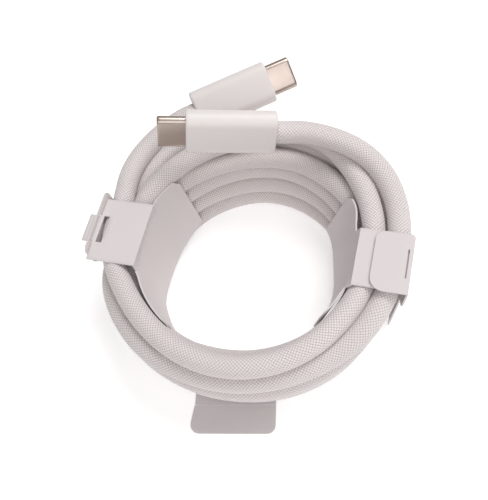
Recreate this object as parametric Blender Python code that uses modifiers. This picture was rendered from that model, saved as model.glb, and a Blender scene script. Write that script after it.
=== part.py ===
"""USB-C to USB-C charging cable, wound flat into a two-layer coil and held by a folded paperboard wrap.

Units are metres, +Z is up, and the coil lies on z = 0 with its axis vertical.
All driving sizes below are in millimetres and are scaled by MM.
"""
import math

import bmesh
import bpy
from mathutils import Matrix, Vector

MM = 0.001

# ---------------------------------------------------------------- driving sizes (mm)
ORIGIN_SHIFT = (0.4320, -8.2480)   # moves the coil axis so that the box centre is at the origin

CABLE_D = 5.3                      # over the woven sleeve
CORE_R = 1.6                       # inner jacket that enters the plug

SHELL_W, SHELL_T, SHELL_OUT = 8.34, 2.56, 6.65   # standard plug shell
SHELL_WALL = 0.26
HOUSING_W, HOUSING_T, HOUSING_L, HOUSING_WALL = 11.2, 5.6, 21.4, 0.8

CARD = 0.4                         # paperboard thickness
STRAP_Z = 27.2                     # mid plane of the straps, on top of the coil

BASE_IN, BASE_OUT = 26.0, 30.5     # ring of card under the coil

LEFT_YC, LEFT_HALF = -2.8, 8.3     # left strap
LEFT_FOLD_X, LEFT_END_X, TONGUE_END_X = -24.3, -35.9, -39.0
TONGUE_HALF = 3.3
RIGHT_YC, RIGHT_HALF = -0.9, 7.1   # right strap
RIGHT_FOLD_X, RIGHT_END_X = 26.0, 37.2
LEFT_WINGS = (23.5, 18.0)          # arc length of the inner panels, to the front and to the back of the strap's middle
RIGHT_WINGS = (15.5, 17.4)

LEFT_HINGE = (-34.1, 0.4)          # x, z of the fold at the foot of the left outer flap
LEFT_TOP = (-36.6, 28.8)
LEFT_FLAP_YC, LEFT_FLAP_HALF, LEFT_STEM_HALF = -1.3, 8.4, 5.2
RIGHT_HINGE = (34.2, 0.4)
RIGHT_TOP = (38.0, 27.9)           # fold between the right outer wall and its top flap
RIGHT_WALL_YC, RIGHT_WALL_HALF, RIGHT_STEM_HALF = -1.6, 7.3, 3.7
TOP_FLAP_LEN = 8.4

TAB_ANGLE = -79.2                  # direction of the front tab, degrees
TAB_HINGE_R, TAB_END_R = 31.6, 38.6
TAB_LEFT, TAB_RIGHT = -16.3, 4.9   # its two sides, across that direction

# plug frames: centre of the housing's front face, azimuth, elevation and roll in degrees
PLUG_A = ((-5.65, 50.4, 22.1), 35.0, 1.0, 42.0)
PLUG_B = ((-17.3, 20.2, 38.0), 195.8, 13.0, -76.0)

# route points of the two free stretches of cable, from the coil to each plug
LEAD_A = [(-30.0, -14.3, 23.95), (-32.2, -7.6, 23.95), (-32.8, -0.5, 23.95), (-32.6, 6.0, 23.9),
          (-34.1, 13.2, 23.5), (-34.4, 20.4, 22.9), (-31.9, 27.2, 22.3)]
LEAD_B = [(23.8, -23.8, 23.95), (28.2, -18.3, 23.95), (31.6, -12.0, 23.95), (33.6, -5.4, 23.95),
          (34.3, 1.5, 23.95), (34.4, 8.0, 24.1), (33.3, 13.6, 24.4), (31.1, 18.7, 24.9),
          (28.7, 22.2, 25.6), (25.4, 24.9, 26.8), (20.8, 26.8, 28.7), (15.5, 27.7, 29.9),
          (10.2, 27.6, 31.2)]

# ---------------------------------------------------------------- scene and helpers
for old in list(bpy.data.objects):
    bpy.data.objects.remove(old, do_unlink=True)

PARTS = bpy.data.collections.new("charging_cable")
GUIDES = bpy.data.collections.new("charging_cable_guides")
bpy.context.scene.collection.children.link(PARTS)
bpy.context.scene.collection.children.link(GUIDES)


def material(name, rgb, rough, metal=0.0):
    m = bpy.data.materials.new(name)
    m.use_nodes = True
    b = m.node_tree.nodes["Principled BSDF"]
    b.inputs["Base Color"].default_value = (*rgb, 1.0)
    b.inputs["Roughness"].default_value = rough
    b.inputs["Metallic"].default_value = metal
    m.diffuse_color = (*rgb, 1.0)
    return m


FINISH = {
    "braid": ((0.68, 0.65, 0.64), 0.85, 0.0),
    "gloss": ((0.84, 0.82, 0.81), 0.18, 0.0),
    "steel": ((0.66, 0.64, 0.62), 0.28, 1.0),
    "gold": ((0.83, 0.66, 0.36), 0.25, 1.0),
    "black": ((0.03, 0.03, 0.035), 0.5, 0.0),
    "board": ((0.04, 0.22, 0.10), 0.5, 0.0),
    "card": ((0.80, 0.78, 0.78), 0.75, 0.0),
    "jacket": ((0.55, 0.55, 0.56), 0.6, 0.0),
}


def finish(obj, kind):
    rgb, rough, metal = FINISH[kind]
    obj.data.materials.append(material("mat_" + obj.name, rgb, rough, metal))
    return obj


def empty(name, matrix, parent=None):
    e = bpy.data.objects.new(name, None)
    e.empty_display_size = 0.004
    GUIDES.objects.link(e)
    e.parent = parent
    e.matrix_local = matrix
    return e


ROOT = empty("cable_origin", Matrix.Translation((ORIGIN_SHIFT[0] * MM, ORIGIN_SHIFT[1] * MM, 0)))


def add(name, data, kind, parent=None, matrix=None):
    o = bpy.data.objects.new(name, data)
    PARTS.objects.link(o)
    o.parent = parent or ROOT
    o.matrix_local = matrix or Matrix.Identity(4)
    return finish(o, kind)


def flat(name, outlines, thick, kind, parent=None, matrix=None):
    """A plate: closed outlines in the local XY plane (mm), thick mm through local Z."""
    c = bpy.data.curves.new(name, "CURVE")
    c.dimensions = "2D"
    c.fill_mode = "BOTH"
    c.extrude = thick * MM / 2
    for pts in outlines:
        s = c.splines.new("POLY")
        s.points.add(len(pts) - 1)
        for p, q in zip(s.points, pts):
            p.co = (q[0] * MM, q[1] * MM, 0, 1)
        s.use_cyclic_u = True
    return add(name, c, kind, parent, matrix)


def rounded(x0, x1, y0, y1, radii, n=5):
    """Rectangle outline with a radius at each corner, in the order (x1,y1), (x0,y1), (x0,y0), (x1,y0)."""
    out = []
    corners = [(x1, y1, 0), (x0, y1, 90), (x0, y0, 180), (x1, y0, 270)]
    for (cx, cy, start), r in zip(corners, radii):
        if r <= 0:
            out.append((cx, cy))
            continue
        ox = cx - r if cx == x1 else cx + r
        oy = cy - r if cy == y1 else cy + r
        for k in range(n + 1):
            a = math.radians(start + 90 * k / n)
            out.append((ox + r * math.cos(a), oy + r * math.sin(a)))
    return out


def stadium(w, t, n=8):
    """Slot outline: width w, thickness t, full-round ends."""
    r, h = t / 2, (w - t) / 2
    out = []
    for side, start in ((1, -90), (-1, 90)):
        for k in range(n + 1):
            a = math.radians(start + 180 * k / n)
            out.append((side * h + r * math.cos(a), r * math.sin(a)))
    return out


def circle(r, n):
    return [(r * math.cos(2 * math.pi * k / n), r * math.sin(2 * math.pi * k / n)) for k in range(n)]


def box(name, size, centre, kind, parent, bevel=0.0):
    me = bpy.data.meshes.new(name)
    bm = bmesh.new()
    bmesh.ops.create_cube(bm, size=1.0)
    bmesh.ops.scale(bm, vec=Vector(size) * MM, verts=bm.verts)
    bm.to_mesh(me)
    bm.free()
    o = add(name, me, kind, parent, Matrix.Translation(Vector(centre) * MM))
    if bevel:
        b = o.modifiers.new("edge", "BEVEL")
        b.width = bevel * MM
        b.segments = 2
    return o


def smooth_route(ctrl, step):
    """Points every step mm along a Catmull-Rom curve through the control points."""
    pts = [Vector(p) for p in ctrl]
    pts = [2 * pts[0] - pts[1]] + pts + [2 * pts[-1] - pts[-2]]
    fine = []
    for i in range(1, len(pts) - 2):
        p0, p1, p2, p3 = pts[i - 1], pts[i], pts[i + 1], pts[i + 2]
        for k in range(24):
            t = k / 24
            fine.append(0.5 * (2 * p1 + (p2 - p0) * t + (2 * p0 - 5 * p1 + 4 * p2 - p3) * t * t
                               + (3 * p1 - p0 - 3 * p2 + p3) * t ** 3))
    fine.append(pts[-2])
    total = sum((b - a).length for a, b in zip(fine, fine[1:]))
    n = max(4, round(total / step))
    out, want, run = [fine[0]], total / n, 0.0
    for a, b in zip(fine, fine[1:]):
        d = (b - a).length
        while run + d >= want * len(out) and len(out) < n:
            out.append(a.lerp(b, (want * len(out) - run) / d))
        run += d
    out.append(fine[-1])
    return out


def tube(name, ctrl, r, kind, step=6.0, parent=None):
    """A round cable along a smooth route, with filled ends; the last piece is straight along the route's last leg."""
    pts = smooth_route(ctrl, step)
    leg = (Vector(ctrl[-2]) - Vector(ctrl[-1])).normalized()
    pts[-2] = pts[-1] + leg * (pts[-2] - pts[-1]).length
    c = bpy.data.curves.new(name, "CURVE")
    c.dimensions = "3D"
    c.bevel_depth = r * MM
    c.bevel_resolution = 4
    c.use_fill_caps = True
    s = c.splines.new("POLY")
    s.points.add(len(pts) - 1)
    for p, q in zip(s.points, pts):
        p.co = (q.x * MM, q.y * MM, q.z * MM, 1)
    return add(name, c, kind, parent)


def axes(x, y, z, origin):
    m = Matrix((x, y, z)).transposed().to_4x4()
    m.translation = Vector(origin) * MM
    return m


# ---------------------------------------------------------------- the plugs
def plug_matrix(spec):
    """Local X points to the tip, Y across the wide side, Z through the thickness."""
    origin, az, el, roll = spec
    az, el, roll = math.radians(az), math.radians(el), math.radians(roll)
    a = Vector((math.cos(el) * math.cos(az), math.cos(el) * math.sin(az), math.sin(el)))
    w0 = Vector((0, 0, 1)).cross(a).normalized()
    t0 = a.cross(w0)
    w = math.cos(roll) * w0 + math.sin(roll) * t0
    return axes(a, w, a.cross(w), origin)


def section(x0, x1):
    """Places a plate drawn in the local YZ plane so that it runs from x0 to x1 along the plug."""
    return axes(Vector((0, 1, 0)), Vector((0, 0, 1)), Vector((1, 0, 0)), ((x0 + x1) / 2, 0, 0))


def comb(n, pitch, width, length, bar):
    """Outline of n parallel beams joined by a bar at x = 0, along +X."""
    out = [(0.0, -(n - 1) / 2 * pitch - width / 2 - 0.1)]
    for k in range(n):
        y = (k - (n - 1) / 2) * pitch
        out += [(bar, y - width / 2), (bar + length, y - width / 2),
                (bar + length, y + width / 2), (bar, y + width / 2)]
    out.append((0.0, (n - 1) / 2 * pitch + width / 2 + 0.1))
    return out


def build_plug(tag, spec):
    f = empty("frame_plug_" + tag, plug_matrix(spec), ROOT)
    p = "plug_%s_" % tag
    inner_w, inner_t = SHELL_W - 2 * SHELL_WALL, SHELL_T - 2 * SHELL_WALL
    shell_back = -3.6
    # drawn steel shell, open at both ends
    flat(p + "shell", [stadium(SHELL_W, SHELL_T), stadium(inner_w, inner_t)],
         SHELL_OUT - shell_back, "steel", f, section(shell_back, SHELL_OUT))
    # moulded contact carrier, with the mouth that takes the socket's tongue
    flat(p + "contact_carrier", [stadium(inner_w - 0.2, inner_t - 0.2), rounded(-3.2, 3.2, -0.5, 0.5, (0.2,) * 4, 2)],
         SHELL_OUT - 0.35 + 1.0, "black", f, section(-1.0, SHELL_OUT - 0.35))
    # contact rows, twelve beams each
    for row, z in (("upper", 0.37), ("lower", -0.37)):
        flat(p + "contacts_" + row, [comb(12, 0.5, 0.24, 5.2, 0.35)], 0.12, "gold", f,
             Matrix.Translation(Vector((-0.2, 0, z)) * MM))
    # side latch: a U of spring steel between the contact rows
    u = [(-0.6, -2.95), (5.3, -2.95), (5.3, -2.7), (-0.3, -2.7), (-0.3, 2.7), (5.3, 2.7), (5.3, 2.95), (-0.6, 2.95)]
    flat(p + "side_latch", [u], 0.2, "steel", f)
    # wafer that closes the back of the carrier, in the shell
    flat(p + "rear_wafer", [stadium(inner_w - 0.24, inner_t - 0.24)], 2.1, "black", f, section(-3.4, -1.3))
    # circuit board, controller chip and a capacitor pair
    box(p + "circuit_board", (6.2, 7.4, 0.6), (-7.1, 0, 0), "board", f)
    box(p + "controller_chip", (2.0, 2.4, 0.5), (-7.4, 0.9, 0.65), "black", f)
    box(p + "capacitor", (1.0, 0.6, 0.45), (-5.3, -2.2, 0.625), "gold", f)
    # folded can over the board
    flat(p + "shield_can", [rounded(-4.1, 4.1, -1.6, 1.6, (0.6,) * 4, 2), rounded(-3.86, 3.86, -1.36, 1.36, (0.36,) * 4, 2)],
         7.4, "steel", f, section(-11.3, -3.9))
    # inner jacket of the cable and its crimped ring
    tube(p + "inner_jacket", [(-HOUSING_L + 0.15, 0, 0), (-16, 0, 0), (-11.8, 0, 0)], CORE_R, "jacket", 3.0, f)
    flat(p + "crimp_ring", [circle(1.97, 24), circle(1.72, 24)], 4.2, "steel", f, section(-18.2, -14.0))
    # white outer housing: an open sleeve with a front bezel and a rear cap let into its ends
    h = flat(p + "housing", [stadium(HOUSING_W, HOUSING_T, 12), stadium(HOUSING_W - 2 * HOUSING_WALL, HOUSING_T - 2 * HOUSING_WALL, 12)],
             HOUSING_L, "gloss", f, section(-HOUSING_L, 0))
    iw, it = HOUSING_W - 2 * HOUSING_WALL - 0.3, HOUSING_T - 2 * HOUSING_WALL - 0.3
    flat(p + "front_bezel", [stadium(iw, it, 10), stadium(SHELL_W + 0.3, SHELL_T + 0.3)], 1.1, "gloss", f, section(-1.3, -0.2))
    flat(p + "rear_cap", [stadium(iw, it, 10), circle(CORE_R + 0.1, 20)], 1.2, "gloss", f, section(-HOUSING_L + 0.2, -HOUSING_L + 1.4))
    return f


FRAME_A = build_plug("a", PLUG_A)
FRAME_B = build_plug("b", PLUG_B)


def plug_rear(spec, back):
    m = plug_matrix(spec)
    return tuple((m @ Vector((-back * MM, 0, 0))) / MM)


# ---------------------------------------------------------------- the coil and the two leads
def turned(name, profile, steps, kind):
    """A ring: a closed profile (r, z) at +X, outer side running down, turned about Z."""
    me = bpy.data.meshes.new(name)
    bm = bmesh.new()
    vs = [bm.verts.new((r * MM, 0, z * MM)) for r, z in profile]
    for k in range(len(vs)):
        bm.edges.new((vs[k], vs[(k + 1) % len(vs)]))
    bm.to_mesh(me)
    bm.free()
    o = add(name, me, kind)
    s = o.modifiers.new("turn", "SCREW")
    s.axis = "Z"
    s.angle = 2 * math.pi
    s.steps = s.render_steps = steps
    s.use_merge_vertices = True
    s.merge_threshold = 0.00001
    return o


turned("cable_coil", [(28.5, 26.6), (29.2, 26.6), (29.8, 25.9), (29.8, 21.4), (30.3, 21.0), (33.2, 21.0),
                      (34.1, 20.1), (34.3, 13.5), (33.4, 6.5), (32.2, 1.7), (31.2, 0.7), (26.0, 0.7),
                      (24.9, 1.5), (24.8, 4.0), (25.6, 10.0), (26.5, 18.0), (27.9, 21.5), (28.1, 25.4)], 72, "braid")

GAP = 0.3
tube("cable_lead_a", LEAD_A + [plug_rear(PLUG_A, HOUSING_L + 4.0), plug_rear(PLUG_A, HOUSING_L + GAP)], CABLE_D / 2, "braid")
tube("cable_lead_b", LEAD_B + [plug_rear(PLUG_B, HOUSING_L + 4.0), plug_rear(PLUG_B, HOUSING_L + GAP)], CABLE_D / 2, "braid")


# ---------------------------------------------------------------- the paperboard wrap
def ease(x):
    x = max(0.0, min(1.0, x))
    return x * x * (3 - 2 * x)


def lerp(a, b, t):
    return a + (b - a) * t


def folded_arm(name, yc, half, fold_x, wings, strap_rows, window_rows, tongue_rows, panel):
    """One sheet of card: a strap over the coil, a fold, and a winged panel down the inside of the coil.

    Columns run across the strap, rows run from the strap's outer end to the panel's foot.
    """
    cols = []
    for sign, far in ((-1, wings[0]), (1, wings[1])):
        mid = (half + 2.3 + far - 3.5) / 2
        one = [1.1, TONGUE_HALF, half - 2.4, half, half + 0.4, half + 2.3, mid, far - 3.5, far - 1.5, far - 0.5, far]
        cols += [sign * c for c in one]
    cols.sort()
    fall = [0.0, 0.05, 0.13, 0.25, 0.4, 0.55, 0.7, 0.85, 1.0]
    rows = len(strap_rows) + len(fall) - 1
    bm = bmesh.new()
    bmesh.ops.create_grid(bm, x_segments=len(cols) - 1, y_segments=rows - 1, size=1.0)
    bm.verts.ensure_lookup_table()
    nx = len(cols)
    grid = {}
    for k, v in enumerate(bm.verts):
        i, j = k % nx, k // nx
        grid[v] = (i, j)
        u = cols[i]
        if j < len(strap_rows):
            x, y, z = strap_rows[j], yc + u, STRAP_Z
            if j == len(strap_rows) - 1 and abs(u) > half + 0.01:
                x, y, z = panel(u, 0.0)
        else:
            x, y, z = panel(u, fall[j - len(strap_rows) + 1])
        v.co = Vector((x, y, z)) * MM
    doomed = []
    for f in bm.faces:
        ij = [grid[v] for v in f.verts]
        j0 = min(j for _, j in ij)
        us = [cols[i] for i, _ in ij]
        wide = max(abs(u) for u in us)
        if j0 < len(strap_rows) - 1 and wide > half + 0.01:
            doomed.append(f)
        elif j0 in tongue_rows and wide > TONGUE_HALF + 0.01:
            doomed.append(f)
        elif j0 in window_rows and wide <= TONGUE_HALF + 0.01:
            doomed.append(f)
    bmesh.ops.delete(bm, geom=doomed, context="FACES")
    bmesh.ops.recalc_face_normals(bm, faces=bm.faces)
    me = bpy.data.meshes.new(name)
    bm.to_mesh(me)
    bm.free()
    o = add(name, me, "card")
    s = o.modifiers.new("card", "SOLIDIFY")
    s.thickness = CARD * MM
    s.offset = 0.0
    s.use_even_offset = True
    return o


def wing_top(u, half, wings):
    """Height of the panel's upper edge beside the strap, with rounded corners."""
    a, far = abs(u), wings[u > 0]
    if a <= half + 0.01:
        return STRAP_Z
    z = lerp(25.0, 24.3, (a - half) / (far - half))
    return z - 1.9 * ease((a - (far - 1.5)) / 1.5)


def left_foot(u):
    """The left panel's lower edge: lowest behind the strap, rising towards the front wing's tip."""
    az = 185.5 - 2.43 * u
    if az < 176:
        z = 1.3 + 2.3 * (max(0.0, 172 - az) / 30) ** 1.3
    else:
        z = 1.3 + 10.3 * (max(0.0, az - 180) / 48.5) ** 1.5
    return min(z + 0.55 * max(0.0, az - 229), 20.5)


def right_foot(u):
    az = -1.5 + 57.3 * u / 26.2
    if az < 10:
        return 5.0 + 8.2 * ((10 - az) / 34) ** 1.3
    return 5.0 + 1.2 * (az - 10) / 29


def left_panel(u, t):
    z = lerp(wing_top(u, LEFT_HALF, LEFT_WINGS), left_foot(u), t)
    r = 24.1 + 0.092 * z
    a = math.radians(185.5) - u * 1.04 / r
    b = max(ease((STRAP_Z - z) / 5.0), ease((abs(u) - LEFT_HALF + 0.4) / 2.0))
    return lerp(LEFT_FOLD_X, r * math.cos(a), b), lerp(LEFT_YC + u, r * math.sin(a), b), z


def right_panel(u, t):
    z = lerp(wing_top(u, RIGHT_HALF, RIGHT_WINGS), right_foot(u), t)
    spread = ease((u - RIGHT_HALF) / 8.0)
    r = 26.2 + 1.8 * spread
    a = math.radians(-1.5) + u / 26.6
    lean = (0.30 + 0.06 * spread) * (STRAP_Z - z)
    b = max(ease((STRAP_Z - z) / 3.0), ease((abs(u) - RIGHT_HALF + 0.4) / 2.0))
    return lerp(RIGHT_FOLD_X, r * math.cos(a), b) - lean, lerp(RIGHT_YC + u, r * math.sin(a), b), z


folded_arm("wrap_left_arm", LEFT_YC, LEFT_HALF, LEFT_FOLD_X, LEFT_WINGS,
           [TONGUE_END_X, -37.6, LEFT_END_X, LEFT_END_X + 0.5, LEFT_END_X + 2.0, -31.0, -27.6, LEFT_FOLD_X],
           {3}, {0, 1}, left_panel)
folded_arm("wrap_right_arm", RIGHT_YC, RIGHT_HALF, RIGHT_FOLD_X, RIGHT_WINGS,
           [RIGHT_END_X, 34.0, 30.0, RIGHT_FOLD_X], set(), set(), right_panel)

# ring under the coil, with the root of the front tab
ta = math.radians(TAB_ANGLE)
out_dir = Vector((math.cos(ta), math.sin(ta), 0))
side_dir = Vector((-out_dir.y, out_dir.x, 0))
rim = []
for k in range(72):
    q = Vector((BASE_OUT * math.cos(2 * math.pi * k / 72), BASE_OUT * math.sin(2 * math.pi * k / 72), 0))
    if q.dot(out_dir) < 0 or not TAB_LEFT - 0.3 < q.dot(side_dir) < TAB_RIGHT + 0.3:
        rim.append((q, math.atan2(q.y, q.x)))
for side in (TAB_LEFT + 1.2, TAB_RIGHT):
    for r in (math.sqrt(BASE_OUT ** 2 - side ** 2), TAB_HINGE_R - 0.1):
        q = out_dir * r + side_dir * side
        rim.append((q, math.atan2(q.y, q.x) + (-1e-4 if (side > 0) == (r > BASE_OUT) else 1e-4)))
rim = [(q.x, q.y) for q, _ in sorted(rim, key=lambda e: e[1])]
flat("wrap_base_ring", [rim, circle(BASE_IN, 72)], CARD, "card", None,
     Matrix.Translation((0, 0, CARD / 2 * MM)))


def hinged(name, hinge, top, across):
    """Frame of a plate that stands on a fold: local Y runs up the plate, local Z is its normal."""
    up = Vector((top[0] - hinge[0], 0, top[1] - hinge[1]))
    length = up.length
    up.normalize()
    m = axes(across, up, across.cross(up), (hinge[0], 0, hinge[1]))
    return empty("fold_" + name, m, ROOT), length


def headed(yc, half, stem, neck0, neck1, length, radius):
    """Outline of a stem that widens into a head with rounded corners."""
    out = [(yc - stem, 0.15), (yc + stem, 0.15), (yc + stem, neck0)]
    for k in range(1, 5):
        t = k / 5
        out.append((yc + lerp(stem, half, ease(t)), lerp(neck0, neck1, t)))
    out.append((yc + half, neck1))
    right = []
    for k in range(6):
        a = math.radians(90 * k / 5)
        right.append((half - radius + radius * math.cos(a), length - radius + radius * math.sin(a)))
    out += [(yc + x, y) for x, y in right] + [(yc - x, y) for x, y in reversed(right)]
    out.append((yc - half, neck1))
    for k in range(4, 0, -1):
        t = k / 5
        out.append((yc - lerp(stem, half, ease(t)), lerp(neck0, neck1, t)))
    out.append((yc - stem, neck0))
    return out


# left outer flap, standing with the slot that the tongue goes through
fold, length = hinged("left_outer_flap", LEFT_HINGE, LEFT_TOP, Vector((0, 1, 0)))
slot_s = (STRAP_Z - LEFT_HINGE[1]) / (LEFT_TOP[1] - LEFT_HINGE[1]) * length
flat("wrap_left_outer_flap",
     [headed(LEFT_FLAP_YC, LEFT_FLAP_HALF, LEFT_STEM_HALF, 19.0, 23.0, length, 1.5),
      rounded(LEFT_YC - TONGUE_HALF - 0.6, LEFT_YC + TONGUE_HALF + 0.6, slot_s - 0.75, slot_s + 0.85, (0.3,) * 4, 2)],
     CARD, "card", fold)

# right outer wall and the top flap folded down over the strap
fold, length = hinged("right_outer_wall", RIGHT_HINGE, RIGHT_TOP, Vector((0, 1, 0)))
flat("wrap_right_outer_wall",
     [headed(RIGHT_WALL_YC, RIGHT_WALL_HALF, RIGHT_STEM_HALF, 16.5, 21.5, length - 0.45, 0.4)],
     CARD, "card", fold)
top = empty("fold_right_top_flap", axes(Vector((0, 1, 0)), Vector((-1, 0, 0)), Vector((0, 0, 1)),
                                        (RIGHT_TOP[0], 0, RIGHT_TOP[1])), ROOT)
flat("wrap_right_top_flap",
     [rounded(RIGHT_WALL_YC - 7.2, RIGHT_WALL_YC + 7.2, 0.1, TOP_FLAP_LEN, (1.8, 3.2, 0, 0)),
      rounded(RIGHT_WALL_YC - 3.5, RIGHT_WALL_YC + 3.5, 0.75, 1.1, (0.1,) * 4, 1)],
     CARD, "card", top)

# front tab, flat on the surface beyond the coil
tab = empty("fold_front_tab", axes(side_dir, out_dir * -1, Vector((0, 0, -1)),
                                   (TAB_HINGE_R * out_dir.x, TAB_HINGE_R * out_dir.y, CARD / 2)), ROOT)
reach = TAB_END_R - TAB_HINGE_R
ends = rounded(TAB_LEFT, TAB_RIGHT, -reach, -0.1, (0, 0, 2.6, 2.0))
flat("wrap_front_tab", [[(x + (1.1 * (1 + y / reach) if x < -10 else 0.0), y) for x, y in ends]], CARD, "card", tab)

for o in PARTS.objects:
    if o.type == "MESH":
        o.data.shade_smooth()
        o.data.set_sharp_from_angle(angle=math.radians(35))
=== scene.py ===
import math

import bmesh
import bpy
from mathutils import Matrix, Vector


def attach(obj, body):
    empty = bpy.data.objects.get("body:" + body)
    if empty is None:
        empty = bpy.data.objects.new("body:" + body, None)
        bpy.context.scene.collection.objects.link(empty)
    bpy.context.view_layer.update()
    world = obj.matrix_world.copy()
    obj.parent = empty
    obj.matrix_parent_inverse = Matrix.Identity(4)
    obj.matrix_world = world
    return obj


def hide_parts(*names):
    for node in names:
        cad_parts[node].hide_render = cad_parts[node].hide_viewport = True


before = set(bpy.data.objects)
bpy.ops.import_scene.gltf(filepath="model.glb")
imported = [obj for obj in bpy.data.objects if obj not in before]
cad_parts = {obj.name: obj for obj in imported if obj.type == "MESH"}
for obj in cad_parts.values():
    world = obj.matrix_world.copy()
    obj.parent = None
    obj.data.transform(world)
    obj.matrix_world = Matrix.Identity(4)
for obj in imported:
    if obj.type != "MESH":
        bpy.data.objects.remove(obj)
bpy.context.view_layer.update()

MM = 0.001
SX, SY = 0.4320, -8.2480          # the coil's axis in the row frame, mm
ROOT, LEFT, WALL, TOP, TAB = "coil_and_plugs", "left_outer_flap", "right_outer_wall", "right_top_flap", "front_tab"


def W(x, y, z):
    """A point given from the coil's axis, in mm, in the row frame, in metres."""
    return Vector(((x + SX) * MM, (y + SY) * MM, z * MM))


# ------------------------------------------------------------------ camera
cam_data = bpy.data.cameras.new("camera")
cam = bpy.data.objects.new("camera", cam_data)
bpy.context.scene.collection.objects.link(cam)
fwd = Vector((-0.2417, 0.4255, -0.8721)).normalized()
right = fwd.cross(Vector((0, 0, 1))).normalized()
up = right.cross(fwd)
c, s = math.cos(math.radians(-18.6)), math.sin(math.radians(-18.6))
r2, u2 = c * right + s * up, -s * right + c * up
m = Matrix((r2, u2, -fwd)).transposed().to_4x4()
m.translation = W(39.3, -71.1, 166.4)
cam.matrix_world = m
cam_data.sensor_width = 36
cam_data.lens = 50.4
cam_data.clip_start = 0.01
bpy.context.scene.camera = cam
bpy.context.scene.view_settings.view_transform = "Standard"

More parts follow.
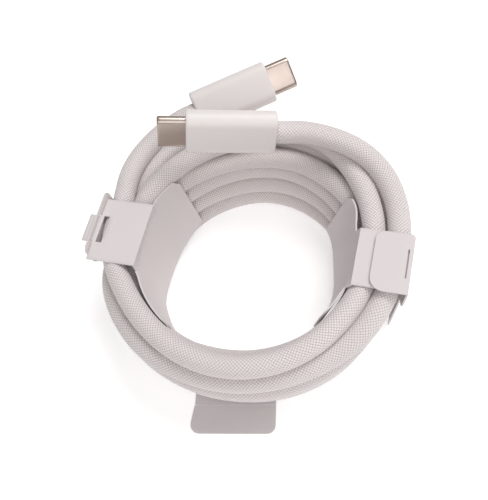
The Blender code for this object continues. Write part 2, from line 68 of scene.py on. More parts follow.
# ------------------------------------------------------------------ the cable's route, hundredths of a mm
ROUTE = [
    (-2285,3836,2173),(-2535,3671,2166),(-2748,3463,2172),(-2926,3224,2188),(-3075,2964,2213),(-3199,2690,2245),
    (-3301,2407,2282),(-3376,2120,2320),(-3422,1828,2355),(-3434,1536,2386),(-3414,1242,2410),(-3373,947,2426),
    (-3330,651,2431),(-3330,350,2427),(-3330,46,2427),(-3300,-257,2427),(-3224,-553,2427),(-3105,-835,2427),
    (-2953,-1100,2433),(-2777,-1349,2436),(-2587,-1586,2436),(-2385,-1811,2434),(-2171,-2023,2432),
    (-1945,-2221,2431),(-1705,-2401,2430),(-1453,-2562,2430),(-1188,-2701,2430),(-911,-2817,2432),
    (-626,-2906,2434),(-333,-2967,2436),(-37,-2997,2439),(261,-2994,2441),(556,-2957,2442),(845,-2886,2442),
    (1124,-2781,2440),(1389,-2646,2439),(1637,-2481,2439),(1867,-2291,2439),(2075,-2078,2440),(2261,-1846,2439),
    (2426,-1597,2436),(2571,-1335,2432),(2693,-1062,2427),(2790,-780,2425),(2859,-490,2426),(2900,-194,2426),
    (2913,105,2427),(2901,404,2427),(2865,702,2428),(2804,997,2428),(2718,1285,2426),(2608,1565,2422),
    (2474,1835,2415),(2318,2093,2406),(2141,2338,2401),(1946,2566,2402),(1733,2773,2410),(1499,2950,2420),
    (1245,3090,2427),(973,3188,2431),(688,3240,2432),(396,3248,2433),(101,3216,2432),(-193,3152,2431),
    (-483,3062,2430),(-767,2954,2430),(-1044,2829,2431),(-1311,2689,2432),(-1566,2530,2433),(-1804,2350,2436),
    (-2022,2146,2438),(-2220,1921,2439),(-2398,1677,2436),(-2556,1418,2425),(-2687,1146,2403),(-2787,864,2365),
    (-2855,576,2314),(-2894,286,2258),(-2903,-3,2202),(-2883,-290,2147),(-2835,-574,2089),(-2759,-851,2033),
    (-2656,-1118,1979),(-2529,-1372,1928),(-2377,-1613,1880),(-2200,-1842,1839),(-1994,-2059,1807),
    (-1762,-2258,1784),(-1507,-2434,1772),(-1210,-2540,1769),(-899,-2613,1772),(-584,-2660,1775),(-269,-2683,1777),
    (42,-2682,1779),(348,-2655,1781),(644,-2598,1784),(929,-2510,1786),(1202,-2396,1791),(1462,-2257,1797),
    (1705,-2095,1807),(1929,-1909,1819),(2129,-1700,1832),(2303,-1468,1847),(2449,-1215,1862),(2567,-945,1878),
    (2656,-660,1892),(2715,-364,1904),(2746,-61,1913),(2748,246,1920),(2722,553,1924),(2666,855,1926),
    (2579,1149,1926),(2457,1426,1925),(2293,1680,1923),(2093,1910,1921),(1867,2119,1919),(1621,2306,1918),
    (1361,2468,1916),(1090,2604,1916),(810,2707,1915),(522,2775,1915),(229,2805,1915),(-67,2800,1915),
    (-363,2765,1915),(-656,2702,1916),(-943,2611,1917),(-1222,2494,1919),(-1492,2353,1921),(-1751,2191,1923),
    (-1994,2008,1923),(-2216,1802,1920),(-2408,1572,1909),(-2562,1318,1890),(-2681,1044,1860),(-2765,757,1816),
    (-2824,467,1764),(-2852,175,1711),(-2851,-112,1662),(-2821,-391,1609),(-2765,-662,1553),(-2681,-928,1494),
    (-2571,-1188,1438),(-2435,-1437,1389),(-2276,-1673,1349),(-2091,-1894,1320),(-1881,-2101,1300),
    (-1623,-2268,1287),(-1340,-2412,1279),(-1042,-2528,1274),(-735,-2615,1272),(-424,-2669,1273),(-111,-2691,1274),
    (198,-2680,1276),(502,-2636,1277),(797,-2559,1279),(1080,-2451,1282),(1348,-2312,1286),(1599,-2146,1294),
    (1830,-1954,1303),(2037,-1739,1315),(2219,-1503,1328),(2374,-1250,1341),(2498,-982,1356),(2592,-701,1370),
    (2653,-413,1383),(2684,-119,1392),(2683,177,1399),(2651,471,1402),(2588,759,1402),(2493,1040,1401),
    (2368,1309,1399),(2214,1565,1397),(2034,1804,1395),(1830,2025,1393),(1605,2225,1391),(1362,2403,1390),
    (1103,2555,1389),(831,2678,1389),(548,2768,1388),(257,2820,1388),(-39,2835,1389),(-336,2812,1389),
    (-629,2756,1390),(-915,2666,1392),(-1190,2547,1393),(-1453,2399,1396),(-1700,2229,1398),(-1931,2039,1398),
    (-2141,1832,1395),(-2326,1607,1387),(-2482,1365,1369),(-2607,1106,1341),(-2700,832,1301),(-2762,541,1249),
    (-2800,234,1196),(-2804,-83,1145),(-2773,-392,1092),(-2710,-684,1032),(-2618,-961,969),(-2501,-1230,911),
    (-2358,-1489,864),(-2186,-1731,831),(-1981,-1942,813),(-1725,-2099,806),(-1442,-2219,806),(-1144,-2312,807),
    (-843,-2384,811),(-544,-2435,816),(-250,-2464,820),(39,-2467,822),(323,-2444,821),(602,-2393,820),
    (876,-2311,818),(1143,-2200,816),(1400,-2059,815),(1645,-1890,815),(1873,-1695,817),(2077,-1477,821),
    (2252,-1238,828),(2393,-983,839),(2493,-713,851),(2552,-432,865),(2572,-144,877),(2556,148,887),(2511,440,894),
    (2441,729,896),(2346,1011,895),(2227,1282,891),(2082,1539,887),(1911,1778,882),(1715,1995,878),(1495,2189,874),
    (1254,2357,872),(994,2495,870),(719,2601,869),(431,2673,869),(137,2711,869),(-161,2713,870),(-456,2681,870),
    (-748,2613,871),(-1031,2513,873),(-1306,2383,874),(-1570,2228,875),(-1820,2049,874),(-2052,1848,870),
    (-2257,1622,860),(-2423,1368,843),(-2554,1094,817),(-2651,808,779),(-2719,516,731),(-2754,221,678),
    (-2757,-74,625),(-2729,-360,571),(-2673,-633,511),(-2591,-895,448),(-2486,-1147,391),(-2360,-1389,347),
    (-2214,-1617,320),(-2045,-1828,310),(-1841,-2014,310),(-1582,-2149,310),(-1290,-2250,310),(-980,-2321,310),
    (-662,-2364,310),(-341,-2380,310),(-21,-2370,310),(293,-2333,310),(598,-2269,310),(892,-2178,310),
    (1170,-2060,310),(1431,-1916,310),(1671,-1749,310),(1888,-1560,310),(2079,-1351,310),(2242,-1123,311),
    (2373,-877,314),(2471,-616,319),(2535,-342,325),(2562,-59,331),(2553,229,337),(2509,516,342),(2431,798,346),
    (2320,1072,348),(2177,1333,350),(2006,1577,351),(1809,1803,351),(1589,2008,351),(1348,2189,351),
    (1091,2346,350),(820,2476,350),(538,2575,350),(246,2640,350),(-50,2670,350),(-347,2663,351),(-641,2621,351),
    (-926,2543,352),(-1198,2429,352),(-1456,2283,351),(-1697,2110,349),(-1925,1915,344),(-2142,1706,337),
    (-2352,1488,327),(-2552,1259,316),(-2739,1016,310),(-2901,749,310),(-3028,456,310),(-3111,138,310),
    (-3144,-195,310),(-3144,-534,310),(-3098,-869,314),(-3007,-1192,331),(-2875,-1500,355),(-2707,-1788,381),
    (-2506,-2053,404),(-2274,-2288,421),(-2015,-2483,430),(-1735,-2636,430),(-1440,-2749,425),(-1137,-2832,417),
    (-831,-2892,409),(-525,-2930,401),(-219,-2945,395),(84,-2938,390),(383,-2907,386),(677,-2850,383),
    (963,-2768,381),(1240,-2659,381),(1505,-2524,382),(1757,-2364,385),(1994,-2180,391),(2212,-1974,402),
    (2410,-1747,419),(2585,-1502,441),(2734,-1241,469),(2855,-966,503),(2944,-680,541),(3002,-386,581),
    (3031,-88,624),(3030,212,667),(3000,512,712),(2941,807,755),(2855,1098,796),(2747,1381,831),(2618,1655,860),
    (2472,1917,881),(2305,2163,896),(2117,2388,905),(1908,2591,909),(1677,2768,911),(1428,2919,910),
    (1163,3043,908),(884,3139,906),(596,3207,903),(301,3246,902),(3,3257,901),(-297,3239,902),(-595,3194,904),
    (-888,3120,907),(-1176,3020,911),(-1455,2896,916),(-1724,2751,922),(-1980,2586,927),(-2219,2403,932),
    (-2438,2201,935),(-2633,1981,936),(-2801,1744,935),(-2941,1493,931),(-3053,1231,924),(-3134,958,915),
    (-3182,673,901),(-3194,373,881),(-3192,57,855),(-3190,-269,834),(-3178,-599,826),(-3134,-922,836),
    (-3054,-1232,855),(-2938,-1521,879),(-2788,-1789,903),(-2604,-2031,922),(-2386,-2245,935),(-2138,-2430,940),
    (-1868,-2590,939),(-1585,-2728,934),(-1293,-2844,928),(-997,-2938,922),(-697,-3009,917),(-396,-3054,913),
    (-94,-3074,910),(206,-3067,907),(502,-3033,905),(794,-2971,903),(1077,-2882,902),(1351,-2766,902),
    (1613,-2625,903),(1859,-2459,905),(2089,-2271,911),(2300,-2061,921),(2489,-1833,937),(2656,-1589,958),
    (2800,-1330,986),(2920,-1058,1018),(3016,-776,1055),(3089,-487,1095),(3140,-190,1140),(3170,110,1186),
    (3180,413,1233),(3174,717,1277),(3148,1019,1318),(3103,1317,1353),(3036,1609,1382),(2943,1890,1404),
    (2822,2156,1419),(2671,2403,1428),(2489,2627,1432),(2277,2823,1433),(2039,2991,1431),(1780,3132,1428),
    (1505,3247,1425),(1218,3340,1423),(924,3415,1423),(625,3476,1424),(324,3524,1426),(22,3558,1428),
    (-279,3576,1430),(-579,3574,1433),(-877,3548,1436),(-1172,3495,1440),(-1461,3416,1444),(-1743,3312,1447),
    (-2015,3185,1448),(-2273,3035,1447),(-2511,2860,1443),(-2724,2662,1439),(-2905,2439,1434),(-3049,2193,1430),
    (-3153,1926,1426),(-3219,1642,1423),(-3252,1345,1421),(-3259,1038,1421),(-3252,723,1418),(-3240,401,1405),
    (-3238,75,1380),(-3236,-245,1356),(-3235,-554,1345),(-3209,-847,1350),(-3150,-1125,1366),(-3052,-1390,1388),
    (-2914,-1642,1412),(-2742,-1883,1433),(-2544,-2114,1449),(-2326,-2333,1459),(-2090,-2531,1462),
    (-1839,-2704,1460),(-1573,-2849,1455),(-1297,-2969,1449),(-1012,-3066,1444),(-721,-3139,1441),
    (-425,-3187,1440),(-126,-3210,1438),(174,-3207,1437),(472,-3177,1436),(766,-3119,1435),(1054,-3035,1434),
    (1333,-2925,1433),(1600,-2791,1433),(1853,-2632,1434),(2091,-2450,1437),(2310,-2247,1442),(2509,-2025,1452),
    (2686,-1787,1468),(2840,-1533,1491),(2969,-1266,1520),(3074,-989,1555),(3153,-702,1595),(3208,-409,1639),
    (3239,-111,1684),(3247,190,1730),(3233,492,1774),(3196,792,1815),(3137,1087,1850),(3051,1373,1879),
    (2936,1647,1901),(2793,1906,1914),(2622,2147,1920),(2427,2369,1919),(2209,2570,1914),(1970,2748,1907),
    (1714,2903,1903),(1444,3034,1903),(1162,3143,1908),(871,3231,1914),(574,3297,1921),(271,3343,1928),
    (-35,3372,1935),(-343,3386,1941),(-650,3386,1947),(-956,3372,1952),(-1258,3342,1956),(-1554,3290,1960),
    (-1839,3212,1962),(-2108,3103,1963),(-2355,2957,1962),(-2573,2774,1959),(-2758,2557,1953),(-2911,2313,1945),
    (-3033,2049,1936),(-3127,1770,1929),(-3197,1481,1925),(-3244,1184,1924),(-3274,882,1924),(-3286,573,1922),
    (-3285,255,1910),(-3282,-67,1885),(-3280,-386,1861),(-3276,-693,1853),(-3237,-983,1865),(-3155,-1258,1891),
    (-3030,-1521,1922),(-2867,-1773,1954),(-2674,-2013,1983),(-2460,-2240,2006),(-2231,-2450,2021),
    (-1987,-2637,2027),(-1727,-2794,2024),(-1450,-2921,2011),(-1160,-3019,1995),(-863,-3094,1979),
    (-563,-3147,1967),(-261,-3176,1958),(40,-3180,1952),(339,-3158,1948),(634,-3109,1945),(923,-3034,1944),
    (1205,-2935,1944),(1478,-2813,1947),(1740,-2672,1957),(1991,-2517,1980),(2231,-2353,2020),(2459,-2179,2077),
    (2670,-1990,2145),(2860,-1779,2215),(3022,-1545,2280),(3155,-1290,2333),(3261,-1016,2372),(3340,-729,2398),
    (3396,-433,2413),(3433,-132,2420),(3451,171,2424),(3451,476,2427),(3430,778,2433),(3385,1077,2443),
    (3313,1368,2459),(3211,1647,2484),(3079,1907,2522),(2915,2143,2577),(2720,2346,2649),(2494,2512,2733),
    (2240,2639,2819),(1963,2727,2899),(1672,2780,2974),(1377,2803,3048),(1084,2794,3121),(799,2747,3195),
    (520,2657,3260),(239,2577,3328),
]
ROUTE = [W(a / 100, b / 100, h / 100) for a, b, h in ROUTE]
CABLE_R = 2.65 * MM


def link(o):
    bpy.context.scene.collection.objects.link(o)
    return o


def mesh_object(name, bm, angle=40):
    bmesh.ops.recalc_face_normals(bm, faces=bm.faces)
    me = bpy.data.meshes.new(name)
    bm.to_mesh(me)
    bm.free()
    me.shade_smooth()
    me.set_sharp_from_angle(angle=math.radians(angle))
    return link(bpy.data.objects.new(name, me))


def catmull(p0, p1, p2, p3, t):
    return 0.5 * (2 * p1 + (p2 - p0) * t + (2 * p0 - 5 * p1 + 4 * p2 - p3) * t * t
                  + (3 * p1 - p0 - 3 * p2 + p3) * t ** 3)


def braided_tube(name, route, r, around=28, sub=2):
    """A tube along the route that carries, at each corner, its turn (0..1) and its distance along (m)."""
    ext = [2 * route[0] - route[1]] + route + [2 * route[-1] - route[-2]]
    line = []
    for i in range(1, len(ext) - 2):
        for k in range(sub):
            line.append(catmull(ext[i - 1], ext[i], ext[i + 1], ext[i + 2], k / sub))
    line.append(route[-1])
    n = len(line)
    tang = [(line[min(i + 1, n - 1)] - line[max(i - 1, 0)]).normalized() for i in range(n)]
    normal = tang[0].cross(Vector((0, 0, 1))).normalized()
    verts, run, runs = [], 0.0, []
    for i in range(n):
        if i:
            run += (line[i] - line[i - 1]).length
            q = tang[i - 1].rotation_difference(tang[i])
            normal = (q @ normal)
            normal = (normal - tang[i] * normal.dot(tang[i])).normalized()
        runs.append(run)
        b = tang[i].cross(normal)
        for k in range(around):
            a = 2 * math.pi * k / around
            verts.append(line[i] + (normal * math.cos(a) + b * math.sin(a)) * r)
    faces, corner = [], []
    for i in range(n - 1):
        for k in range(around):
            k2 = (k + 1) % around
            faces.append((i * around + k, (i + 1) * around + k, (i + 1) * around + k2, i * around + k2))
            u0, u1 = k / around, (k + 1) / around
            corner += [(u0, runs[i], 0), (u0, runs[i + 1], 0), (u1, runs[i + 1], 0), (u1, runs[i], 0)]
    caps = [tuple(range(around)), tuple(reversed(range((n - 1) * around, n * around)))]
    for cap in caps:
        faces.append(cap)
        corner += [(0, 0, 0)] * around
    me = bpy.data.meshes.new(name)
    me.from_pydata([tuple(v) for v in verts], [], faces)
    me.update()
    at = me.attributes.new("braid", "FLOAT_VECTOR", "CORNER")
    at.data.foreach_set("vector", [x for co in corner for x in co])
    me.shade_smooth()
    me.validate()
    return link(bpy.data.objects.new(name, me)), line, run


cable, cable_line, cable_len = braided_tube("cable", ROUTE, CABLE_R)
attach(cable, ROOT)
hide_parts("cable_coil", "cable_lead_a", "cable_lead_b")


# ------------------------------------------------------------------ material helpers
def lin(r, g, b):
    def f(v):
        v /= 255
        return v / 12.92 if v <= 0.04045 else ((v + 0.055) / 1.055) ** 2.4
    return (f(r), f(g), f(b), 1.0)


class Mat:
    def __init__(self, name, rough=0.5, metal=0.0, spec=0.5):
        self.m = bpy.data.materials.new(name)
        self.m.use_nodes = True
        self.t = self.m.node_tree
        self.b = self.t.nodes["Principled BSDF"]
        self.b.inputs["Roughness"].default_value = rough
        self.b.inputs["Metallic"].default_value = metal
        self.b.inputs["Specular IOR Level"].default_value = spec

    def node(self, kind, **props):
        n = self.t.nodes.new(kind)
        for k, v in props.items():
            setattr(n, k, v)
        return n

    def link(self, a, b):
        self.t.links.new(a, b)

    def math(self, op, a, b=None, clamp=False):
        n = self.node("ShaderNodeMath", operation=op, use_clamp=clamp)
        for i, v in enumerate((a, b)):
            if v is None:
                continue
            if isinstance(v, (int, float)):
                n.inputs[i].default_value = v
            else:
                self.link(v, n.inputs[i])
        return n.outputs[0]

    def ramp(self, fac, stops):
        n = self.node("ShaderNodeValToRGB")
        els = n.color_ramp.elements
        while len(els) > 1:
            els.remove(els[-1])
        els[0].position, els[0].color = stops[0]
        for p, col in stops[1:]:
            e = els.new(p)
            e.color = col
        self.link(fac, n.inputs["Fac"])
        return n.outputs["Color"]

    def noise(self, scale, detail=3, rough=0.5, coord=None):
        n = self.node("ShaderNodeTexNoise")
        n.inputs["Scale"].default_value = scale
        n.inputs["Detail"].default_value = detail
        n.inputs["Roughness"].default_value = rough
        if coord is None:
            tc = self.node("ShaderNodeTexCoord")
            coord = tc.outputs["Object"]
        self.link(coord, n.inputs["Vector"])
        return n.outputs["Fac"]

    def bump(self, height, distance, strength=1.0, normal=None):
        n = self.node("ShaderNodeBump")
        n.inputs["Distance"].default_value = distance
        n.inputs["Strength"].default_value = strength
        self.link(height, n.inputs["Height"])
        if normal is not None:
            self.link(normal, n.inputs["Normal"])
        return n.outputs["Normal"]


def mix_color(M, fac, a, b):
    n = M.node("ShaderNodeMix", data_type="RGBA")
    M.link(fac, n.inputs["Factor"])
    for sock, v in ((n.inputs[6], a), (n.inputs[7], b)):
        if isinstance(v, tuple):
            sock.default_value = v
        else:
            M.link(v, sock)
    return n.outputs[2]


def braid_material():
    """A woven sleeve: two families of yarns that wind opposite ways and pass over and under each other."""
    M = Mat("braid_sleeve", rough=0.72, spec=0.3)
    at = M.node("ShaderNodeAttribute", attribute_name="braid")
    xyz = M.node("ShaderNodeSeparateXYZ")
    M.link(at.outputs["Vector"], xyz.inputs[0])
    u, v = xyz.outputs[0], xyz.outputs[1]
    turns = 20.0
    along = M.math("MULTIPLY", v, 1 / 0.00080)
    wob = M.math("MULTIPLY", M.math("SUBTRACT", M.noise(900, 2), 0.5), 0.5)
    along = M.math("ADD", along, wob)
    around = M.math("MULTIPLY", u, turns)
    p = M.math("ADD", along, around)
    q = M.math("SUBTRACT", along, around)
    sp = M.math("SINE", M.math("MULTIPLY", p, math.pi))
    sq = M.math("SINE", M.math("MULTIPLY", q, math.pi))
    ap, aq = M.math("ABSOLUTE", sp), M.math("ABSOLUTE", sq)
    cell = M.math("MULTIPLY", sp, sq)                       # which family is on top
    top = M.math("ADD", M.math("MULTIPLY", cell, 2.5), 0.5, clamp=True)
    hp = M.math("POWER", ap, 0.6)
    hq = M.math("POWER", aq, 0.6)
    n = M.node("ShaderNodeMix", data_type="FLOAT")
    M.link(top, n.inputs[0])
    M.link(hq, n.inputs[2])
    M.link(hp, n.inputs[3])
    h = M.math("MULTIPLY", n.outputs[0], M.math("POWER", M.math("MULTIPLY", ap, aq), 0.25))
    fibre = M.noise(5200, 3, 0.6)
    hh = M.math("ADD", h, M.math("MULTIPLY", fibre, 0.25))
    big = M.noise(60, 3)
    # weave height sets the colour: painted shade in the grooves between the yarns, a painted highlight on the yarn
    # crests
    col = M.ramp(h, [(0.0, lin(152, 144, 143)), (0.35, lin(203, 196, 195)), (1.0, lin(236, 230, 229))])
    col2 = mix_color(M, M.math("MULTIPLY", big, 0.35), col, lin(204, 197, 196))
    M.link(col2, M.b.inputs["Base Color"])
    M.link(M.bump(hh, 0.00009, 0.8), M.b.inputs["Normal"])
    M.link(M.math("ADD", M.math("MULTIPLY", fibre, 0.2), 0.6), M.b.inputs["Roughness"])
    M.b.inputs["Sheen Weight"].default_value = 0.25
    M.b.inputs["Sheen Roughness"].default_value = 0.5
    return M.m


def gloss_material(name, rgb):
    """Smooth moulded shell: faint flow unevenness and handling haze under a clear gloss."""
    M = Mat(name, rough=0.16, spec=0.5)
    haze = M.noise(220, 4, 0.6)
    fine = M.noise(2600, 2)
    col = mix_color(M, M.math("MULTIPLY", haze, 0.3), lin(*rgb), lin(rgb[0] - 7, rgb[1] - 8, rgb[2] - 8))
    M.link(col, M.b.inputs["Base Color"])
    M.link(M.math("ADD", M.math("MULTIPLY", haze, 0.12), 0.40), M.b.inputs["Roughness"])
    M.link(M.bump(M.math("ADD", haze, M.math("MULTIPLY", fine, 0.1)), 0.00001, 0.4), M.b.inputs["Normal"])
    M.b.inputs["Coat Weight"].default_value = 0.06
    M.b.inputs["Coat Roughness"].default_value = 0.2
    M.b.inputs["Subsurface Weight"].default_value = 0.05
    M.b.inputs["Subsurface Radius"].default_value = (0.001, 0.0009, 0.0008)
    return M.m


def steel_material(name, rgb, rough=0.3, stretch=(40, 1, 1), scale=900):
    """Drawn, satin-plated steel: fine lines along the draw and a few softer blotches."""
    M = Mat(name, rough=rough, metal=1.0)
    tc = M.node("ShaderNodeTexCoord")
    mp = M.node("ShaderNodeMapping")
    mp.inputs["Scale"].default_value = stretch
    M.link(tc.outputs["Object"], mp.inputs["Vector"])
    lines = M.noise(scale, 4, 0.6, mp.outputs["Vector"])
    blot = M.noise(300, 3, 0.5)
    col = mix_color(M, M.math("MULTIPLY", blot, 0.5), lin(*rgb), lin(rgb[0] - 22, rgb[1] - 24, rgb[2] - 26))
    M.link(col, M.b.inputs["Base Color"])
    M.link(M.math("ADD", M.math("MULTIPLY", lines, 0.2), rough - 0.1), M.b.inputs["Roughness"])
    M.link(M.bump(lines, 0.000008, 0.5), M.b.inputs["Normal"])
    return M.m


def card_material(name, rgb):
    """Uncoated white fibre board: short fibres, slight cloudiness, rough surface."""
    M = Mat(name, rough=0.85, spec=0.25)
    cloud = M.noise(110, 3, 0.55)
    fibre = M.noise(2400, 5, 0.7)
    speck = M.noise(900, 2, 0.5)
    col = mix_color(M, M.math("MULTIPLY", cloud, 0.5), lin(*rgb), lin(rgb[0] - 10, rgb[1] - 10, rgb[2] - 9))
    M.link(col, M.b.inputs["Base Color"])
    h = M.math("ADD", fibre, M.math("MULTIPLY", speck, 0.6))
    M.link(M.bump(h, 0.00004, 0.35), M.b.inputs["Normal"])
    M.link(M.math("ADD", M.math("MULTIPLY", fibre, 0.15), 0.75), M.b.inputs["Roughness"])
    return M.m


def plain_material(name, rgb, rough, metal=0.0, scale=1500):
    """Small parts: mottled colour and a fine moulded grain."""
    M = Mat(name, rough=rough, metal=metal)
    g = M.noise(scale, 3, 0.6)
    col = mix_color(M, g, lin(*rgb), lin(*[max(0, v * 0.82) for v in rgb]))
    M.link(col, M.b.inputs["Base Color"])
    M.link(M.bump(g, 0.00001, 0.4), M.b.inputs["Normal"])
    M.link(M.math("ADD", M.math("MULTIPLY", g, 0.1), rough - 0.05), M.b.inputs["Roughness"])
    return M.m


BRAID = braid_material()
WHITE = gloss_material("white_shell", (224, 219, 217))
STEEL = steel_material("drawn_steel", (184, 172, 164), 0.30)
SPRING = steel_material("spring_steel_look", (188, 184, 180), 0.35)
GOLD = plain_material("gold_contacts", (222, 182, 110), 0.28, 1.0)
BLACK = plain_material("black_mould", (34, 33, 35), 0.5)
CHIP = plain_material("chip_mould", (26, 26, 28), 0.45)
BOARD = plain_material("board_mask", (24, 92, 52), 0.4, 0.0, 700)
JACKET = plain_material("jacket_rubber", (150, 150, 152), 0.65)
CARD = card_material("fibre_board", (216, 210, 210))
cable.data.materials.append(BRAID)

# ------------------------------------------------------------------ plugs
PLUGS = {"a": ((-5.65, 50.4, 22.1), 35.0, 1.0, 42.0), "b": ((-17.3, 20.2, 38.0), 195.8, 13.0, -76.0)}


def plug_matrix(spec):
    """Local X to the tip, Y across the wide side, Z through the thickness; local units are mm."""
    origin, az, el, roll = spec
    az, el, roll = math.radians(az), math.radians(el), math.radians(roll)
    a = Vector((math.cos(el) * math.cos(az), math.cos(el) * math.sin(az), math.sin(el)))
    w0 = Vector((0, 0, 1)).cross(a).normalized()
    t0 = a.cross(w0)
    w = math.cos(roll) * w0 + math.sin(roll) * t0
    mm = Matrix((a, w, a.cross(w))).transposed().to_4x4()
    mm.translation = W(*origin)
    return mm @ Matrix.Scale(MM, 4)


def slot_ring(w, t, n=14):
    r, h = t / 2, max((w - t) / 2, 0.0005)
    out = []
    for side, start in ((1, -90), (-1, 90)):
        for k in range(n + 1):
            a = math.radians(start + 180 * k / n)
            out.append((side * h + r * math.cos(a), r * math.sin(a)))
    return out


def loft(name, matrix, rings, closed=True, angle=30):
    """Joins a list of (x, outline) rings; closed joins the last to the first."""
    bm = bmesh.new()
    rows = []
    for x, pts in rings:
        rows.append([bm.verts.new(matrix @ Vector((x, y, z))) for y, z in pts])
    n = len(rows[0])
    for i in range(len(rows) if closed else len(rows) - 1):
        a, b = rows[i], rows[(i + 1) % len(rows)]
        for k in range(n):
            bm.faces.new((a[k], a[(k + 1) % n], b[(k + 1) % n], b[k]))
    return mesh_object(name, bm, angle)


def build_plug(tag):
    mat = plug_matrix(PLUGS[tag])
    Wd, T, L = 11.2, 5.6, 21.4
    outer = []
    for x, d in [(-L, 0.62), (-L + 0.06, 0.34), (-L + 0.2, 0.13), (-L + 0.42, 0.02), (-L + 0.7, 0.0), (-L + 1.4, 0.0),
                 (-14, 0.0), (-7, 0.0), (-1.2, 0.0), (-0.6, 0.0), (-0.34, 0.02), (-0.15, 0.1), (-0.04, 0.24), (0.0, 0.42)]:
        outer.append((x, slot_ring(Wd - 2 * d, T - 2 * d)))
    inner = [(0.0, slot_ring(8.34 + 0.16, 2.56 + 0.16)), (-0.12, slot_ring(8.34 + 0.06, 2.56 + 0.06)),
             (-1.3, slot_ring(8.34 + 0.06, 2.56 + 0.06)), (-1.35, slot_ring(9.6, 4.0)), (-L + 1.45, slot_ring(9.6, 4.0)),
             (-L + 1.4, slot_ring(5.42, 5.42 * 0.999)), (-L + 0.1, slot_ring(5.42, 5.42 * 0.999)), (-L, slot_ring(5.5, 5.5 * 0.94))]
    # the rear hole is as wide as the cable; the shell's rim rises round it
    inner[5] = (-L + 1.4, slot_ring(5.38, 4.9))
    inner[6] = (-L + 0.12, slot_ring(5.38, 4.9))
    inner[7] = (-L, slot_ring(5.5, 4.36))
    h = loft("housing_" + tag, mat, outer + inner)
    h.data.materials.append(WHITE)
    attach(h, ROOT)
    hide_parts(f"plug_{tag}_housing", f"plug_{tag}_front_bezel", f"plug_{tag}_rear_cap")
    rings = [(-3.6, slot_ring(8.34, 2.56)), (0.2, slot_ring(8.34, 2.56)), (5.9, slot_ring(8.34, 2.56)),
             (6.25, slot_ring(8.31, 2.53)), (6.45, slot_ring(8.22, 2.44)), (6.58, slot_ring(8.08, 2.30)),
             (6.64, slot_ring(7.94, 2.16)), (6.6, slot_ring(7.84, 2.06)), (6.3, slot_ring(7.82, 2.04)), (-3.6, slot_ring(7.82, 2.04))]
    sh = loft("shell_" + tag, mat, rings)
    sh.data.materials.append(STEEL)
    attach(sh, ROOT)
    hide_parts(f"plug_{tag}_shell")
    return h, sh


housing_a, shell_a = build_plug("a")
housing_b, shell_b = build_plug("b")

LOOKS = {"contact_carrier": BLACK, "contacts_upper": GOLD, "contacts_lower": GOLD, "side_latch": SPRING,
         "rear_wafer": BLACK, "circuit_board": BOARD, "controller_chip": CHIP, "capacitor": GOLD,
         "shield_can": SPRING, "inner_jacket": JACKET, "crimp_ring": SPRING, "housing": WHITE, "front_bezel": WHITE,
         "rear_cap": WHITE, "shell": STEEL}


def paint(node, material):
    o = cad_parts[node]
    if not o.material_slots:
        o.data.materials.append(material)
    for slot in o.material_slots:
        slot.material = material


for tag in "ab":
    for key, material in LOOKS.items():
        paint(f"plug_{tag}_{key}", material)
for node in ("cable_coil", "cable_lead_a", "cable_lead_b"):
    paint(node, BRAID)
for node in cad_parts:
    if node.startswith("wrap_"):
        paint(node, CARD)

# ------------------------------------------------------------------ card arms
STRAP_Z = 27.2
LEFT_YC, LEFT_HALF, LEFT_FOLD_X = -2.8, 8.3, -24.3
RIGHT_YC, RIGHT_HALF, RIGHT_FOLD_X = -0.9, 7.1, 26.0
TONGUE_HALF = 3.6
LEFT_WINGS, RIGHT_WINGS = (23.5, 18.0), (15.5, 17.4)


def ease(x):
    x = max(0.0, min(1.0, x))
    return x * x * (3 - 2 * x)


def lerp(a, b, t):
    return a + (b - a) * t


def wing_top(u, half, wings):
    a, far = abs(u), wings[u > 0]
    if a <= half + 0.01:
        return STRAP_Z
    z = lerp(25.0, 24.3, (a - half) / (far - half))
    return z - 1.9 * ease((a - (far - 1.5)) / 1.5)


def left_foot(u):
    az = 185.5 - 2.43 * u
    if az < 176:
        z = 1.3 + 2.3 * (max(0.0, 172 - az) / 30) ** 1.3
    else:
        z = 1.3 + 10.3 * (max(0.0, az - 180) / 48.5) ** 1.5
    return min(z + 0.55 * max(0.0, az - 229), 20.5)


def right_foot(u):
    az = -1.5 + 57.3 * u / 26.2
    if az < 10:
        return 5.0 + 8.2 * ((10 - az) / 34) ** 1.3
    return 5.0 + 1.2 * (az - 10) / 29


def left_panel(u, t):
    z = lerp(wing_top(u, LEFT_HALF, LEFT_WINGS), left_foot(u), t)
    r = 24.1 + 0.092 * z
    a = math.radians(185.5) - u * 1.04 / r
    b = max(ease((STRAP_Z - z) / 5.0), ease((abs(u) - LEFT_HALF + 0.4) / 2.0))
    return lerp(LEFT_FOLD_X, r * math.cos(a), b), lerp(LEFT_YC + u, r * math.sin(a), b), z


def right_panel(u, t):
    z = lerp(wing_top(u, RIGHT_HALF, RIGHT_WINGS), right_foot(u), t)
    spread = ease((u - RIGHT_HALF) / 8.0)
    r = 26.2 + 1.8 * spread
    a = math.radians(-1.5) + u / 26.6
    lean = (0.30 + 0.06 * spread) * (STRAP_Z - z)
    b = max(ease((STRAP_Z - z) / 3.0), ease((abs(u) - RIGHT_HALF + 0.4) / 2.0))
    return lerp(RIGHT_FOLD_X, r * math.cos(a), b) - lean, lerp(RIGHT_YC + u, r * math.sin(a), b), z


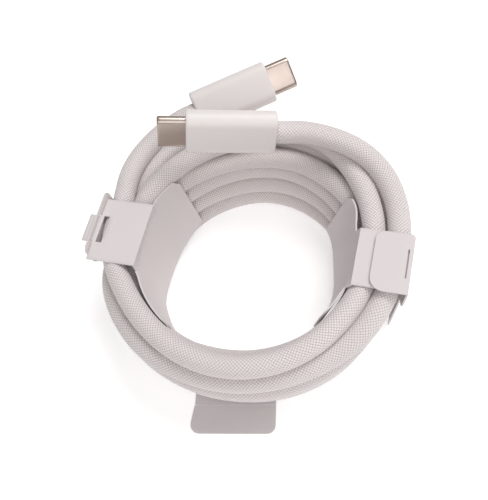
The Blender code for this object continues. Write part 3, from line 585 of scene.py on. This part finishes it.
def card_arm(name, node, yc, half, wings, strap_rows, window, tongue, panel):
    """Strap, fold and winged panel as one bent sheet; window and tongue are x ranges."""
    cols = [0.0]
    for sign, far in ((-1, wings[0]), (1, wings[1])):
        one = [1.1, 2.2, TONGUE_HALF, half - 3.2, half - 2.0, half - 1.0, half, half + 0.25, half + 0.6, half + 1.1, half + 1.8]
        k = half + 2.6
        while k < far - 1.7:
            one.append(k)
            k += 0.9
        one += [far - 1.6, far - 1.2, far - 0.8, far - 0.4, far]
        cols += [sign * q for q in one]
    cols.sort()
    fall = [0.0] + [(k / 22) ** 1.25 for k in range(1, 23)]
    bm = bmesh.new()
    grid = {}
    last = len(strap_rows) - 1
    for j in range(len(strap_rows) + len(fall) - 1):
        for i, u in enumerate(cols):
            if j <= last:
                p = (strap_rows[j], yc + u, STRAP_Z)
                if j == last and abs(u) > half + 0.01:
                    p = panel(u, 0.0)
            else:
                p = panel(u, fall[j - last])
            grid[i, j] = W(*p)
    made = {}

    def vert(i, j):
        if (i, j) not in made:
            made[i, j] = bm.verts.new(grid[i, j])
        return made[i, j]

    for j in range(len(strap_rows) + len(fall) - 2):
        for i in range(len(cols) - 1):
            wide = max(abs(cols[i]), abs(cols[i + 1]))
            if j < last:
                mid = (strap_rows[j] + strap_rows[j + 1]) / 2
                if wide > half + 0.01:
                    continue
                if tongue[0] < mid < tongue[1] and wide > TONGUE_HALF + 0.01:
                    continue
                if window[0] < mid < window[1] and wide <= TONGUE_HALF + 0.01:
                    continue
            bm.faces.new((vert(i, j), vert(i + 1, j), vert(i + 1, j + 1), vert(i, j + 1)))
    o = mesh_object(name, bm, 60)
    sol = o.modifiers.new("card", "SOLIDIFY")
    sol.thickness = 0.4 * MM
    sol.offset = 0.0
    sol.use_even_offset = True
    bev = o.modifiers.new("edge", "BEVEL")
    bev.width = 0.05 * MM
    bev.segments = 1
    bev.limit_method = "ANGLE"
    bev.angle_limit = math.radians(50)
    o.data.materials.append(CARD)
    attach(o, ROOT)
    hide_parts(node)
    return o


card_arm("card_left_arm", "wrap_left_arm", LEFT_YC, LEFT_HALF, LEFT_WINGS,
         [-39.0, -38.2, -37.4, -36.7, -36.15, -35.4, -33.9, -32.6, -31.0, -29.0, -27.0, -25.6, -24.8, LEFT_FOLD_X],
         (-35.4, -33.9), (-40.0, -36.15), left_panel)
card_arm("card_right_arm", "wrap_right_arm", RIGHT_YC, RIGHT_HALF, RIGHT_WINGS,
         [37.2, 35.0, 33.0, 31.0, 29.0, 27.4, 26.5, RIGHT_FOLD_X], (99, 99), (99, 99), right_panel)

# ------------------------------------------------------------------ floor and lights
bm = bmesh.new()
bmesh.ops.create_grid(bm, x_segments=2, y_segments=2, size=1.2)
floor = mesh_object("floor", bm)
floor.location = (0, 0, -0.00005)
F = Mat("floor_white", rough=0.9, spec=0.1)
fcol = mix_color(F, F.noise(3, 2), (0.93, 0.93, 0.93, 1), (0.95, 0.95, 0.95, 1))
F.link(fcol, F.b.inputs["Base Color"])
F.b.inputs["Emission Color"].default_value = (1, 1, 1, 1)
F.b.inputs["Emission Strength"].default_value = 0.34
floor.data.materials.append(F.m)


def area(name, loc, target, size, power, rgb=(1, 1, 1)):
    d = bpy.data.lights.new(name, "AREA")
    d.size = size
    d.energy = power
    d.color = rgb
    o = link(bpy.data.objects.new(name, d))
    o.location = loc
    o.rotation_euler = (Vector(target) - Vector(loc)).to_track_quat("-Z", "Y").to_euler()
    return o


area("key", (0.18, 0.26, 0.56), (0, 0, 0.01), 0.36, 2.3, (1.0, 0.985, 0.98))
area("front", (0.10, -0.50, 0.42), (0, 0, 0.01), 0.45, 1.05, (1.0, 0.98, 0.97))
# sits where the flat of plug A's shell mirrors it, so the metal reads light
area("gleam", (0.2040, -0.1450, 0.3120), (0, 0.055, 0.022), 0.16, 0.19, (1.0, 0.98, 0.99))

world = bpy.data.worlds.new("studio")
bpy.context.scene.world = world
world.use_nodes = True
bg = world.node_tree.nodes["Background"]
bg.inputs["Color"].default_value = (1.0, 0.985, 0.98, 1)
bg.inputs["Strength"].default_value = 0.40
